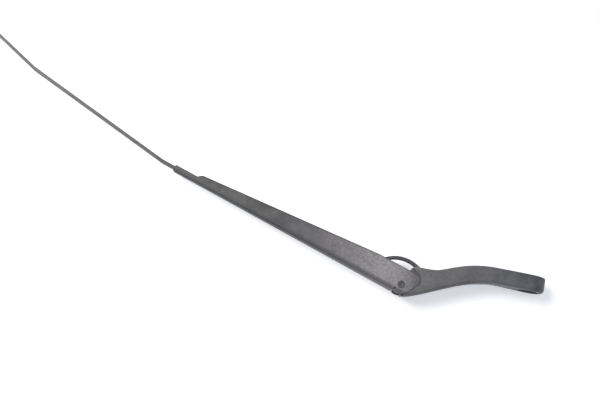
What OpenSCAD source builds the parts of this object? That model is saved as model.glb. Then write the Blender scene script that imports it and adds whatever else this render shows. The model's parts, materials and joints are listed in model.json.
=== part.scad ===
// Windscreen wiper arm: a cast mounting head, a sprung hinge, a pressed channel and a flat rod.
// Frame: the origin is on the spindle axis, inside the spindle bore. +X runs from the spindle
// toward the tip, +Z points away from the glass and Y runs across the arm.
// Millimetres and degrees. The arm is drawn closed, with its channel on the head's stop.

/* [Head] */
// Distance from the spindle axis to the hinge axis
hinge_x = 116; // [108:1:124]
// Height of the hinge axis over the spindle bore's middle
hinge_z = 26.4; // [24:0.2:29]
// Radius of the round end over the spindle
boss_r = 14; // [13:0.5:15.5]
// Height of the round end's outer face over the origin
boss_top = 6.3; // [6.2:0.1:8]
// Depth of the round end's glass face below the origin
boss_low = 8.2; // [8:0.1:10]
// Half width of the neck beside the hinge
neck_half = 11.2; // [10.8:0.1:11.8]
// Rounding of the outer long edges
edge_r = 3.4; // [2:0.2:4]
// Rounding of the glass side's long edges
low_edge_r = 1.0; // [0.6:0.1:1.4]
// Depth of the cored pockets in the neck's glass side
core_depth = 8; // [5:0.5:9]
// Half width of the cored pockets
core_half = 7; // [5:0.5:7.5]
// Thickness of the ribs between the pockets
rib_t = 2.4; // [1.6:0.2:4]

/* [Spindle] */
// Radius of the straight bore for the spindle's thread
bore_r = 4.2; // [4:0.1:4.6]
// Length of the straight bore
bore_len = 4; // [3:0.5:4.5]
// Radius of the tapered socket at its mouth
socket_r = 6.1; // [5.8:0.1:6.6]
// Radius of the tapered socket at its floor
socket_floor_r = 5.2; // [5.1:0.1:5.6]
// Radius of the recess for the nut
nut_recess_r = 9; // [8.8:0.1:9.4]

/* [Hinge] */
// Angle of the channel below the head's flat end when the arm is closed
closed_droop = 16.2; // [14:0.2:18]
// Radius of the hinge pin in the bushes
pin_r = 3.0; // [2.6:0.1:3.2]
// Radius of the pin's upset ends in the channel's walls
pin_end_r = 3.5; // [3.4:0.1:3.8]
// Wall of the plastic bushes
bush_wall = 1.2; // [0.9:0.1:1.3]
// Thickness of the bush flanges
flange_t = 1.1; // [0.8:0.1:1.2]
// Radius of the bush flanges
flange_r = 5.6; // [5.2:0.1:5.8]
// Radius of the head's barrel round the bushes
barrel_r = 7.2; // [6.6:0.1:7.2]
// Half width of the head's tongue between the flanges
tongue_half = 8.1; // [7.8:0.1:8.1]
// Largest angle that the arm folds away from the glass
fold_max = 55; // [45:1:57]

/* [Channel] */
// Thickness of the channel's sheet steel
gauge = 1.5; // [1.2:0.1:1.6]
// Outer half width of the channel at the hinge axis
hinge_half = 11; // [10.8:0.1:11.3]
// Outer half width of the channel where the crimp starts
crimp_start_half = 6.6; // [6.4:0.1:7.2]
// Height of the back's outer face over the hinge axis
back_n = 8; // [7.8:0.1:8.2]
// Outer radius of the long bends
bend_r = 2.4; // [2:0.1:2.8]
// Depth of the walls' open edge below the hinge axis, beside the hinge
wall_depth = 15.1; // [14.6:0.1:16]
// Depth of the walls' open edge below the hinge axis, where the crimp starts
wall_depth_tip = 1; // [0:0.1:2]
// Distance from the hinge axis to the start of the walls' taper
taper_start = 30; // [20:1:40]
// Distance from the hinge axis to the end of the walls
wall_end = 214; // [202:1:220]
// Radius of the wall's round end over the hinge pin
lobe_r = 8.6; // [8.2:0.1:8.8]
// Radius of the wall's rounded heel
heel_r = 6; // [5:0.2:6.4]
// Distance of the heel behind the hinge axis
heel_back = 14.2; // [13.6:0.1:15]
// Distance from the hinge axis to the edge of the back
plate_end = 4.6; // [4.5:0.1:6]
// Width of the relief slit beside the back's edge
relief_w = 1.4; // [1:0.1:1.6]

/* [Crimp] */
// Length of the crimp past the end of the walls
crimp_len = 24; // [18:1:30]
// Width of the open seam between the crimp's folded tabs
seam_w = 1.2; // [0.6:0.2:3]
// Outer radius of the crimp's corners
crimp_corner_r = 1.6; // [1:0.1:2]

/* [Rod] */
// Width of the flat bar
rod_w = 9; // [8:0.5:9.4]
// Thickness of the flat bar
rod_t = 3; // [2.4:0.1:3.4]
// Centre-line radius of the rod's bends
rod_bend_r = 20; // [12:1:40]
// Straight run of the rod from the crimp to its first bend
bend_one_run = 14; // [8:1:24]
// Angle of the first bend toward the glass
bend_one = 7.1; // [3:0.1:12]
// Length of the rod between its two bends
rod_mid_len = 160; // [120:1:200]
// Angle of the second bend toward the glass
bend_two = 7.2; // [3:0.1:12]
// Length of the rod from the second bend to the hook
rod_tip_len = 92; // [60:1:140]

/* [Blade hook] */
// Inner radius of the blade hook
hook_r = 3; // [2.4:0.1:4]
// Length of the hook's return leg
hook_leg = 14; // [8:1:22]

/* [Spring line] */
// Distance of the link pin behind the hinge axis
link_pin_back = 12; // [11.6:0.1:12.4]
// Distance of the link pin toward the glass
link_pin_low = 13.5; // [13:0.1:14]
// Distance from the hinge axis to the rod's spring hole
anchor_u = 130; // [120:1:140]
// Distance from the link pin to the link's spring hole
link_reach = 48; // [46:0.5:52]
// Radius of the link pin
link_pin_r = 2; // [1.8:0.1:2.2]
// Gap round the link's eye in the head's slot
slot_gap = 0.85; // [0.6:0.05:1]

/* [Tension link] */
// Thickness of the link's strip
link_t = 3; // [2.4:0.1:3.2]
// Width of the link's strip
link_w = 7; // [5.5:0.1:7.2]
// Centre-line radius of the link's long arc
arc_r = 29.3; // [28.6:0.1:30]
// Centre-line radius where the link turns into the head
throat_r = 6; // [5:0.2:6.4]
// Centre-line radius where the link turns into the channel
tab_bend_r = 5; // [4:0.2:7]
// Angle that the link's eye wraps round its pin
eye_wrap = 205; // [150:5:250]
// Distance of the arc's centre line below the hinge axis
arc_low = 23.8; // [23.4:0.1:24.2]
// Distance of the arc's lowest point in front of the hinge axis
arc_lead = 2; // [1.4:0.2:2.6]

/* [Spring] */
// Diameter of the spring wire
wire_d = 1.8; // [1.4:0.1:1.9]
// Mean radius of the coils and hooks
coil_r = 3.6; // [3.2:0.1:3.7]
// Number of coils
coil_turns = 40; // [30:2:42]
// Radius of the spring's holes in the link and the rod
spring_hole_r = 1.6; // [1.5:0.1:1.8]

/* [Fits] */
// Running clearance between a pin and its hole, on the radius
run_gap = 0.05; // [0.02:0.01:0.09]
// Gap between parts that pass each other
side_gap = 0.4; // [0.3:0.05:0.5]
// Gap between the rod and the channel's back
seat_gap = 0.1; // [0.1:0.05:0.2]

/* [Hidden] */
$fn = 64;
// Reach of a cutting shape past what it cuts
cut = 40;
// How far a cut or a joined shape runs past its face
overlap = 2;
// How far the pieces of a bent strip run into each other
lap = 0.05;
// How far a tangent line is drawn inside its circle, so that the two cross
tuck = 0.02;

black_cast = [0.17, 0.17, 0.18];
black_paint = [0.20, 0.20, 0.21];
dull_steel = [0.36, 0.35, 0.34];
bush_plastic = [0.72, 0.70, 0.64];

// The neck's outline, from the spindle to the hinge: the station's share of hinge_x, then the rise
// of its glass side and of its outer side as shares of hinge_z.
NECK = [
    [0.00, 0.000, 0.000],
    [0.26, 0.010, 0.012],
    [0.36, 0.037, 0.080],
    [0.45, 0.099, 0.178],
    [0.53, 0.190, 0.307],
    [0.61, 0.318, 0.463],
    [0.68, 0.445, 0.608],
    [0.74, 0.543, 0.735],
    [0.80, 0.579, 0.861],
    [0.87, 0.588, 0.998],
    [0.94, 0.592, 1.108],
    [1.00, 0.592, 1.145],
];
steps_per_station = 4;
corner_steps = 8;
shoulder_width_end = 0.28;

socket_top = -bore_len / 2;
nut_seat = bore_len / 2;
core_ends = [0.17, 0.36, 0.55, 0.74];

bush_r = pin_r + run_gap + bush_wall;
bush_len = tongue_half * 0.9;
flange_face = tongue_half + flange_t;

// In the hinge frame u runs along the closed channel toward the tip and n points away from the glass.
back_in = back_n - gauge;
wall_turn = atan2(hinge_half - crimp_start_half, wall_end);
heel = [heel_r - heel_back, heel_r - wall_depth];
relief_n = back_n - bend_r - 1;
crimp_low = back_in - seat_gap - rod_t - gauge;
crimp_half = rod_w / 2 + gauge;
// Height by which the crimp stands proud of the channel's back
crimp_proud = 0.1;
crimp_top = back_n + crimp_proud;
// Length of the walls' last step up to the crimp
step_len = 4;

// The head's shoulder stops the back's edge just past the fold, and its nose stops the back when closed
shoulder_angle = atan2(back_n, plate_end) + fold_max + 3;
nose = [barrel_r + 1.3, back_in - side_gap / 2];
nose_depth = 4.8;

link_pin_at = [-link_pin_back, -link_pin_low];
rod_n = back_in - seat_gap - rod_t / 2;
bend_one_u = wall_end + crimp_len + bend_one_run;
anchor_at = [anchor_u, 0];
pull_angle = atan2(anchor_at.y - link_pin_at.y, anchor_at.x - link_pin_at.x);
pull = [cos(pull_angle), sin(pull_angle)];
link_hole_at = link_pin_at + link_reach * pull;
spring_len = norm(anchor_at - link_hole_at);
hole_edge = coil_r + 0.3;

arc_centre = [arc_lead, arc_r - arc_low];
eye_r = link_pin_r + run_gap + link_t / 2;
slot_half = link_w / 2 + side_gap;
slot_r = eye_r + link_t / 2 + slot_gap;
slot_roof = link_pin_at.y + slot_r;
chin_share = 0.87;
chin_chamfer = [5.5, 3.4];
chin_lean = 10;
flank_relief = 12;
heel_step = 8;

// Value at t on the curve that passes through b and c, with a and d as its neighbours
function catmull(a, b, c, d, t) =
    0.5 * (2 * b + (c - a) * t + (2 * a - 5 * b + 4 * c - d) * t * t
           + (3 * b - 3 * c + d - a) * t * t * t);

function neck_row(i) = NECK[min(max(i, 0), len(NECK) - 1)];

// Stations of the neck on a smooth curve: position, glass side and outer side
NECK_CURVE = [
    for (i = [0:len(NECK) - 2], k = [0:steps_per_station - 1])
        catmull(neck_row(i - 1), neck_row(i), neck_row(i + 1), neck_row(i + 2), k / steps_per_station),
    neck_row(len(NECK) - 1)
];

function neck_low(share) = -boss_low + hinge_z * lookup(share, [for (s = NECK_CURVE) [s[0], s[1]]]);

// Point of the side view, from the spindle's frame to the hinge's
function to_hinge(x, z) = let (a = closed_droop, dx = x - hinge_x, dz = z - hinge_z)
    [dx * cos(a) - dz * sin(a), dx * sin(a) + dz * cos(a)];

function smooth(t) = let (c = min(max(t, 0), 1)) c * c * (3 - 2 * c);
function neck_width(share) = boss_r + (neck_half - boss_r) * smooth(share / shoulder_width_end);

// Quarter turn of a rounded corner, as points from angle a
function corner(c, r, a, steps) =
    [for (i = [0:steps]) c + r * [cos(a + 90 * i / steps), sin(a + 90 * i / steps)]];

// One half of the head's cross-section, from the glass side up to the outer side
function half_section(w, low, top) = concat(
    corner([w - low_edge_r, low + low_edge_r], low_edge_r, -90, 2),
    corner([w - edge_r, top - edge_r], edge_r, 0, corner_steps));

function full_section(w, low, top) = let (half = half_section(w, low, top), n = len(half))
    concat(half, [for (i = [n - 1:-1:0]) [-half[i].x, half[i].y]]);

// Two triangles between ring i and the next, from corner j, on rings of n points
function wall_panel(i, j, n) = let (a = i * n + j, b = i * n + (j + 1) % n)
    [[a, a + n, b + n], [a, b + n, b]];

// Fan of points that covers the angles from a to b, out to radius r, in steps of no more than step
function fan(r, a, b, step = 45) = let (n = ceil(abs(b - a) / step))
    concat([[0, 0]], [for (i = [0:n]) r * [cos(a + (b - a) * i / n), sin(a + (b - a) * i / n)]]);

module in_hinge_frame() {
    translate([hinge_x, 0, hinge_z]) rotate([0, closed_droop, 0]) children();
}

// Extrudes a side view across the arm
module across(width) {
    rotate([90, 0, 0]) linear_extrude(width, center = true) children();
}

// Extrudes a cross-section along the arm
module along(length) {
    rotate([90, 0, 90]) linear_extrude(length) children();
}

module cross_pin(r, width) {
    rotate([90, 0, 0]) cylinder(h = width, r = r, center = true);
}

// Two circles and their common tangents
module taut_band(c1, r1, c2, r2) {
    turn = atan2(c2.y - c1.y, c2.x - c1.x);
    lean = acos((r1 - r2) / norm(c2 - c1));
    ends = [[cos(turn + lean), sin(turn + lean)], [cos(turn - lean), sin(turn - lean)]];
    in1 = r1 - tuck;
    in2 = r2 - tuck;
    translate(c1) circle(r1);
    translate(c2) circle(r2);
    polygon([c1 + in1 * ends[0], c2 + in2 * ends[0], c2 + in2 * ends[1], c1 + in1 * ends[1]]);
}

// Side view of bent strip, drawn from its start: a step is [length] or [centre-line radius, turn]
module bent_strip(steps, t, i = 0) {
    if (i < len(steps)) {
        if (len(steps[i]) == 1) {
            translate([-lap, -t / 2]) square([steps[i][0] + 2 * lap, t]);
            translate([steps[i][0], 0]) bent_strip(steps, t, i + 1);
        } else {
            r = steps[i][0];
            turn = steps[i][1];
            side = sign(turn);
            lap_turn = side * lap / r * 180 / PI;
            translate([0, side * r]) intersection() {
                difference() {
                    circle(r + t / 2);
                    circle(r - t / 2);
                }
                polygon(fan(2 * (r + t), -90 * side - lap_turn, -90 * side + turn + lap_turn));
            }
            translate([r * sin(abs(turn)), side * r * (1 - cos(turn))]) rotate(turn)
                bent_strip(steps, t, i + 1);
        }
    }
}

// Skin of the neck: one polyhedron lofted through the stations
module neck_loft() {
    rings = [
        for (s = NECK_CURVE)
            [for (p = full_section(neck_width(s[0]), -boss_low + hinge_z * s[1], boss_top + hinge_z * s[2]))
                [hinge_x * s[0], p.x, p.y]]
    ];
    n = len(rings[0]);
    last = len(rings) - 1;
    polyhedron(
        points = [for (ring = rings) each ring],
        faces = concat(
            [[for (j = [0:n - 1]) j]],
            [for (i = [0:last - 1], j = [0:n - 1]) each wall_panel(i, j, n)],
            [[for (j = [n - 1:-1:0]) last * n + j]]));
}

// Round end over the spindle, with the section that the neck starts from
module boss() {
    half = half_section(boss_r, -boss_low, boss_top);
    rotate(90) rotate_extrude(angle = 180, $fn = 96)
        polygon(concat([[0, -boss_low]], half, [[0, boss_top]]));
}

// Outline of a channel wall's round end, grown by g
module wall_end_outline(g = 0) {
    taut_band([0, 0], lobe_r + g, heel, heel_r + g);
    polygon([[heel.x, heel.y - heel_r - g], [cut, heel.y - heel_r - g], [cut, relief_n], [0, relief_n]]);
}

// Everything in front of the head's shoulder, where the channel turns, and its heels' path beside the tongue
module hinge_space() {
    heel_reach = norm(heel) + heel_r + side_gap;
    chin_angle = -90 - chin_lean;
    across(2 * cut) polygon(fan(4 * cut, shoulder_angle, chin_angle));
    difference() {
        across(2 * cut) {
            wall_end_outline(side_gap);
            polygon(fan(4 * cut, shoulder_angle, shoulder_angle + flank_relief));
            polygon(fan(heel_reach / cos(heel_step / 2), atan2(heel.y, heel.x), chin_angle, heel_step));
        }
        across(2 * tongue_half) square(6 * cut, center = true);
    }
}

// Side view of the tongue that carries the hinge and the link pin
module tongue_outline() {
    chin = to_hinge(hinge_x * chin_share, neck_low(chin_share)) + [0, side_gap / 2];
    root_u = link_pin_at.x - slot_r;
    circle(barrel_r);
    polygon([
        nose, nose - [0, nose_depth], chin + chin_chamfer, chin, [root_u, chin.y / 2],
        barrel_r * [cos(shoulder_angle), sin(shoulder_angle)], [0, nose.y],
    ]);
}

module link_slot() {
    across(2 * slot_half) {
        translate(link_pin_at) circle(slot_r);
        translate([link_pin_at.x - slot_r, link_pin_at.y - cut]) square([slot_r, cut]);
        translate([link_pin_at.x, slot_roof - cut]) square([cut, cut]);
    }
}

module spindle_seat() {
    translate([0, 0, -boss_low - overlap])
        cylinder(h = boss_low + overlap + socket_top,
                 r1 = socket_r + (socket_r - socket_floor_r) * overlap / (boss_low + socket_top),
                 r2 = socket_floor_r);
    translate([0, 0, -boss_low]) cylinder(h = cut, r = bore_r);
    translate([0, 0, nut_seat]) cylinder(h = cut, r = nut_recess_r);
}

// One cored pocket between two shares of the neck's length
module core_pocket(from, to) {
    steps = 6;
    shares = [for (i = [0:steps]) from + (to - from) * i / steps];
    across(2 * core_half) polygon(concat(
        [for (s = shares) [hinge_x * s, neck_low(s) + core_depth]],
        [for (i = [steps:-1:0]) [hinge_x * shares[i], neck_low(shares[i]) - overlap]]));
}

module head() {
    color(black_cast) difference() {
        union() {
            boss();
            difference() {
                neck_loft();
                in_hinge_frame() hinge_space();
            }
            in_hinge_frame() across(2 * tongue_half) tongue_outline();
        }
        spindle_seat();
        for (i = [0:len(core_ends) - 2])
            core_pocket(core_ends[i] + rib_t / hinge_x / 2, core_ends[i + 1] - rib_t / hinge_x / 2);
        in_hinge_frame() {
            link_slot();
            cross_pin(bush_r, 2 * cut);
            translate([link_pin_at.x, 0, link_pin_at.y]) cross_pin(link_pin_r, 2 * tongue_half);
        }
    }
}

// Flanged bush; side is 1 for left and -1 for right
module bush(side) {
    color(bush_plastic) in_hinge_frame() rotate([-90 * side, 0, 0]) difference() {
        union() {
            translate([0, 0, tongue_half - bush_len]) cylinder(h = bush_len, r = bush_r);
            translate([0, 0, tongue_half]) cylinder(h = flange_t, r = flange_r);
        }
        cylinder(h = flange_face + overlap, r = pin_r + run_gap);
    }
}

// Pin with upset ends that fill the walls' holes, each dished by the tool that spread it
module hinge_pin() {
    end_y = hinge_half + 0.1;
    shank_half = flange_face + seat_gap;
    chamfer = 0.2;
    dish_r = pin_end_r * 0.55;
    dish_depth = 0.4;
    half = [[0, 0], [pin_r, 0], [pin_r, shank_half], [pin_end_r, shank_half], [pin_end_r, end_y - chamfer],
            [pin_end_r - chamfer, end_y], [dish_r, end_y], [dish_r * 0.7, end_y - dish_depth],
            [0, end_y - dish_depth]];
    color(dull_steel) in_hinge_frame() rotate([90, 0, 0]) {
        rotate_extrude() polygon(half);
        mirror([0, 0, 1]) rotate_extrude() polygon(half);
    }
}

module link_pin() {
    color(dull_steel) in_hinge_frame() translate([link_pin_at.x, 0, link_pin_at.y])
        cross_pin(link_pin_r, 2 * tongue_half - 0.2);
}

// Bent strip from the spring's hole, out of the channel, round the hinge and over its pin
module tension_link() {
    side = [sin(pull_angle), -cos(pull_angle)];
    from_centre = link_hole_at + tab_bend_r * side - arc_centre;
    b = from_centre * pull;
    shift = sqrt(b * b - from_centre * from_centre + pow(arc_r + tab_bend_r, 2)) - b;
    bend_at = from_centre + shift * pull;
    arc_start = atan2(bend_at.y, bend_at.x);
    arc_stop = -acos((link_pin_at.x - eye_r + throat_r - arc_centre.x) / (arc_r - throat_r));
    throat_y = arc_centre.y + (arc_r - throat_r) * sin(arc_stop);
    steps = [
        [hole_edge - shift],
        [tab_bend_r, arc_start + 90 - pull_angle],
        [arc_r, arc_stop - arc_start],
        [throat_r, -180 - arc_stop],
        [link_pin_at.y - throat_y],
        [eye_r, -eye_wrap],
    ];
    color(dull_steel) in_hinge_frame() difference() {
        across(link_w) translate(link_hole_at + hole_edge * pull) rotate(180 + pull_angle)
            bent_strip(steps, link_t);
        translate([link_hole_at.x, 0, link_hole_at.y]) rotate([0, -pull_angle, 0])
            cylinder(h = 3 * link_t, r = spring_hole_r, center = true);
    }
}

// Centre line of half the spring: the hook, the lead into the coils, then the coils
function spring_half_path() = let (
    hook_from = 35, hook_steps = 18, lead = 4, turn_steps = 10,
    turns = coil_turns / 2,
    pitch = (spring_len / 2 - coil_r - lead) / turns)
    concat(
        [for (i = [0:hook_steps - 1]) let (a = hook_from + (270 - hook_from) * i / hook_steps)
            [coil_r * (1 + cos(a)), 0, coil_r * sin(a)]],
        [for (i = [0:turns * turn_steps]) let (a = 360 * i / turn_steps)
            [coil_r + lead * (1 - exp(-a / 45)) + pitch * a / 360, coil_r * sin(a), -coil_r * cos(a)]]);

function unit(v) = v / norm(v);

// Carries a side vector along the path without twist
function carry(v, tangent) = unit(v - (v * tangent) * tangent);

// Round wire swept along a path, as one polyhedron
module wire(path, r, sides) {
    n = len(path);
    tangents = [for (i = [0:n - 1]) unit(path[min(i + 1, n - 1)] - path[max(i - 1, 0)])];
    normals = [for (i = 0, v = carry([0, 1, 0], tangents[0]); i < n;
                    i = i + 1, v = carry(v, tangents[min(i, n - 1)])) v];
    points = [
        for (i = [0:n - 1], k = [0:sides - 1]) let (a = 360 * k / sides)
            path[i] + r * (cos(a) * normals[i] + sin(a) * cross(tangents[i], normals[i]))
    ];
    polyhedron(points, concat(
        [[for (k = [0:sides - 1]) k]],
        [for (i = [0:n - 2], k = [0:sides - 1]) each wall_panel(i, k, sides)],
        [[for (k = [sides - 1:-1:0]) (n - 1) * sides + k]]));
}

module tension_spring() {
    half = spring_half_path();
    path = concat(half, [for (i = [len(half) - 2:-1:0]) [spring_len - half[i].x, -half[i].y, half[i].z]]);
    color(dull_steel) in_hinge_frame() translate([link_hole_at.x, 0, link_hole_at.y])
        rotate([0, -pull_angle, 0]) wire(path, wire_d / 2, 6);
}

// Side view of one half of the channel: the walls in front of the back's edge, and the round end
module channel_side() {
    wall_end_side();
    polygon([
        [plate_end, 2 * back_n], [wall_end, 2 * back_n], [wall_end, crimp_low],
        [wall_end - step_len, -wall_depth_tip], [taper_start, -wall_depth], [plate_end, -wall_depth],
    ]);
}

// Side view of a flat wall behind and below the back's edge
module wall_end_side() {
    difference() {
        intersection() {
            wall_end_outline();
            translate([-cut, -cut]) square([cut + plate_end + relief_w, 2 * cut]);
        }
        translate([plate_end - relief_w, relief_n]) square(cut);
    }
}

// Quadrant left of and below [0, back_n], with its corner rounded
module rounded_quarter(r) {
    translate([-cut, back_n - cut]) square([cut - r, cut]);
    translate([-cut, back_n - cut]) square([cut, cut - r]);
    translate([-r, back_n - r]) circle(r);
}

// Section of one wall, its bend and its share of the back, with the wall's outer face at x = 0
module wall_section() {
    difference() {
        rounded_quarter(bend_r);
        translate([-gauge, -gauge]) rounded_quarter(bend_r - gauge);
    }
}

module beside_wall() {
    translate([0, hinge_half, 0]) rotate(-wall_turn) children();
}

// Left half of the channel: the bent sheet in front of the back's edge and the flat wall behind it
module channel_half() {
    intersection() {
        beside_wall() {
            translate([plate_end, 0, 0]) along(wall_end + overlap - plate_end) wall_section();
            translate([-cut, -gauge, -cut]) cube([cut + plate_end, gauge, 2 * cut]);
        }
        across(2 * cut) channel_side();
        translate([-cut, 0, -cut]) cube([wall_end + cut, cut, 2 * cut]);
    }
}

// Section of the crimp that grips the rod
module crimp_section() {
    difference() {
        translate([-crimp_half + crimp_corner_r, crimp_low]) square(
            [2 * (crimp_half - crimp_corner_r), crimp_top - crimp_low]);
        crimp_hollow();
    }
    difference() {
        union() {
            translate([-crimp_half, crimp_low + crimp_corner_r]) square(
                [2 * crimp_half, crimp_top - crimp_low - 2 * crimp_corner_r]);
            for (x = [-1, 1], z = [crimp_low + crimp_corner_r, crimp_top - crimp_corner_r])
                translate([x * (crimp_half - crimp_corner_r), z]) circle(crimp_corner_r);
        }
        crimp_hollow();
    }
}

module crimp_hollow() {
    translate([-rod_w / 2, crimp_low + gauge]) square([rod_w, rod_t + seat_gap]);
    translate([-seam_w / 2, crimp_low - overlap]) square([seam_w, gauge + 2 * overlap]);
}

module channel() {
    color(black_paint) in_hinge_frame() difference() {
        union() {
            channel_half();
            mirror([0, 1, 0]) channel_half();
            translate([wall_end - step_len, 0, 0]) along(crimp_len + step_len) crimp_section();
        }
        cross_pin(pin_end_r, 2 * cut);
    }
}

module rod() {
    joggle = 25;
    joggle_r = 8;
    tail_len = hole_edge + 8;
    rise = rod_n - anchor_at.y;
    slope_len = (rise - 2 * joggle_r * (1 - cos(joggle))) / sin(joggle);
    joggle_u = anchor_u - hole_edge + tail_len + 2 * joggle_r * sin(joggle) + slope_len * cos(joggle);
    steps = [
        [tail_len],
        [joggle_r, joggle],
        [slope_len],
        [joggle_r, -joggle],
        [bend_one_u - joggle_u - rod_bend_r * tan(bend_one / 2)],
        [rod_bend_r, -bend_one],
        [rod_mid_len - rod_bend_r * (tan(bend_one / 2) + tan(bend_two / 2))],
        [rod_bend_r, -bend_two],
        [rod_tip_len - rod_bend_r * tan(bend_two / 2)],
        [hook_r + rod_t / 2, -180],
        [hook_leg],
    ];
    color(black_paint) in_hinge_frame() difference() {
        across(rod_w) translate([anchor_u - hole_edge, anchor_at.y]) bent_strip(steps, rod_t);
        translate([anchor_at.x, 0, anchor_at.y]) cylinder(h = 3 * rod_t, r = spring_hole_r, center = true);
    }
}

head();
bush(1);  // bush_left
bush(-1);  // bush_right
hinge_pin();
link_pin();
tension_link();
tension_spring();
channel();
rod();
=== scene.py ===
"""Looks of a car's windscreen wiper arm that lies on its side on a white table.

The arm keeps the CAD model's own frame: +X runs from the spindle to the tip, +Z points away from the
glass and Y runs across the arm. The table is the upright plane on the arm's +Y side, and the camera
looks down on it from the -Y side, with the glass side up in the picture. Fields that end in _mm are in
millimetres and fields that end in _deg in degrees. Everything else is in metres and radians.
"""

import json
import logging
import math
from dataclasses import dataclass
from enum import Enum

import bmesh
import bpy
import numpy as np
from mathutils import Matrix, Vector


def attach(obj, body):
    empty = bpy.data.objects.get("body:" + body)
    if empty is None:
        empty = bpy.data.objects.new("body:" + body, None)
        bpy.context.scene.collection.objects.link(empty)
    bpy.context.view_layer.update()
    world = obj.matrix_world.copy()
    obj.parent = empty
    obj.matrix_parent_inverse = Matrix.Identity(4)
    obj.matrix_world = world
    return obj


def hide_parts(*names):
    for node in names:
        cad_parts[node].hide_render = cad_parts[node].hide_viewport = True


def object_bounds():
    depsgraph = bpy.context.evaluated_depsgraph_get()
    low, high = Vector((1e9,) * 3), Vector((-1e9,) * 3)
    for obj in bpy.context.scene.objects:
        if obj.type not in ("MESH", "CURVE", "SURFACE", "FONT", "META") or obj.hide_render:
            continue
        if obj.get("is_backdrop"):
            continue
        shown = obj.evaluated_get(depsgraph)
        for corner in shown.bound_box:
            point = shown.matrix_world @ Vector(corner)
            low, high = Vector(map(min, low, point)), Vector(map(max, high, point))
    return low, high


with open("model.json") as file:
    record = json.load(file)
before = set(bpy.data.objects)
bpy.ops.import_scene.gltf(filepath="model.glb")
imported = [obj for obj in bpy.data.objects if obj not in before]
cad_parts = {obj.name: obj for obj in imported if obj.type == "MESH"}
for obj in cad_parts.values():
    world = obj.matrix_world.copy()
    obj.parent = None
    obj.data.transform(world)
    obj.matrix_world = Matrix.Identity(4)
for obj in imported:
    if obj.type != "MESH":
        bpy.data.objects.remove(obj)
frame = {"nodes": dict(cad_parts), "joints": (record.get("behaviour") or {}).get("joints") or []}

MM = 0.001
WHITE = (1.0, 1.0, 1.0, 1.0)
Tree = bpy.types.NodeTree
Socket = bpy.types.NodeSocket
# Edges of bars, strips and wires that turn by more than this stay sharp
BAR_SHARP_DEG = 40.0
log = logging.getLogger("wiper_arm")


class Body(str, Enum):
    """Rigid bodies of the frame that the pieces ride on."""

    HEAD = "head"
    CHANNEL = "channel"
    LINK = "link"
    SPRING = "spring"


# Side view of the hinge


@dataclass(frozen=True)
class HingeFrame:
    """Side view of the closed arm about its hinge axis, in metres.

    u runs along the channel toward the tip and n away from the glass. A point (u, n) lies at
    hinge + u * (cos a, -sin a) + n * (sin a, cos a) in the row's X and Z, with a as the droop.
    """

    hinge: tuple[float, float]
    droop: float

    @classmethod
    def from_joints(cls, joints: list[dict]) -> "HingeFrame":
        """Reads the hinge and the droop from the joints: the spring's anchor lies on the line n = 0.

        Args:
            joints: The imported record's joints.

        Returns:
            The frame of the closed channel.
        """
        place = {j["name"]: j["pos_m"] for j in joints}
        x, _, z = place["arm_fold"]
        far_x, _, far_z = place["spring_swing"]
        return cls((x, z), math.atan2(z - far_z, far_x - x))

    def row(self, u: np.ndarray, n: np.ndarray, y: np.ndarray) -> np.ndarray:
        """Places side-view points in the row frame.

        Args:
            u: Distances along the channel.
            n: Distances away from the glass.
            y: Distances across the arm.

        Returns:
            Points (..., 3) of the row frame.
        """
        c, s = math.cos(self.droop), math.sin(self.droop)
        x = self.hinge[0] + u * c + n * s
        z = self.hinge[1] - u * s + n * c
        return np.stack(np.broadcast_arrays(x, y, z), axis=-1)

    def side(self, point: list[float]) -> np.ndarray:
        """Finds a point's place in the side view.

        Args:
            point: Point of the row frame.

        Returns:
            Its place (u, n).
        """
        dx, dz = point[0] - self.hinge[0], point[2] - self.hinge[1]
        c, s = math.cos(self.droop), math.sin(self.droop)
        return np.array([dx * c - dz * s, dx * s + dz * c])


# Shapes as arrays


def rounded_bar(width: float, height: float, radius: float, steps: int = 4) -> np.ndarray:
    """Outline of a flat bar's section, anticlockwise.

    Each corner is a quarter circle: point = centre + radius * (cos t, sin t), with t over 90 degrees.

    Args:
        width: Size along the first axis.
        height: Size along the second axis.
        radius: Corner radius.
        steps: Segments of each corner.

    Returns:
        Array of points (4 * (steps + 1), 2).
    """
    t = np.linspace(0, math.pi / 2, steps + 1)
    start = np.repeat(np.arange(4) * math.pi / 2, steps + 1)
    angle = start + np.tile(t, 4)
    centre = np.array([[1, 1], [-1, 1], [-1, -1], [1, -1]]) * (
        np.array([width, height]) / 2 - radius
    )
    return np.repeat(centre, steps + 1, axis=0) + radius * np.stack([np.cos(angle), np.sin(angle)], 1)


def bent_line(
    steps: list[tuple[float, ...]], start: np.ndarray, heading: float
) -> tuple[np.ndarray, np.ndarray]:
    """Centre line of bent strip in the side view.

    A step (length,) goes straight on. A step (radius, turn) follows a tangent circle:
    point = p + radius * (sin b, side * (1 - cos b)) turned by the heading, with b from 0 to |turn|.

    Args:
        steps: The straight and curved steps, in order, in metres and radians.
        start: First point (u, n).
        heading: First direction, anticlockwise from +u.

    Returns:
        Points (k, 2) and the heading at each.
    """
    straight_piece, curved_piece = 3 * MM, math.radians(5)
    points, headings = [start[None, :]], [np.array([heading])]
    for step in steps:
        if len(step) == 1:
            share = np.linspace(0, 1, max(2, int(step[0] / straight_piece) + 1))[1:]
            local = np.stack([share * step[0], np.zeros_like(share)], 1)
            turned = np.full(len(share), heading)
        else:
            radius, turn = step
            b = np.linspace(0, abs(turn), max(2, int(abs(turn) / curved_piece)) + 1)[1:]
            side = math.copysign(1.0, turn)
            local = radius * np.stack([np.sin(b), side * (1 - np.cos(b))], 1)
            turned = heading + side * b
        c, s = math.cos(heading), math.sin(heading)
        points.append(points[-1][-1] + local @ np.array([[c, s], [-s, c]]))
        headings.append(turned)
        heading = float(turned[-1])
    return np.concatenate(points), np.concatenate(headings)


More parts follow.
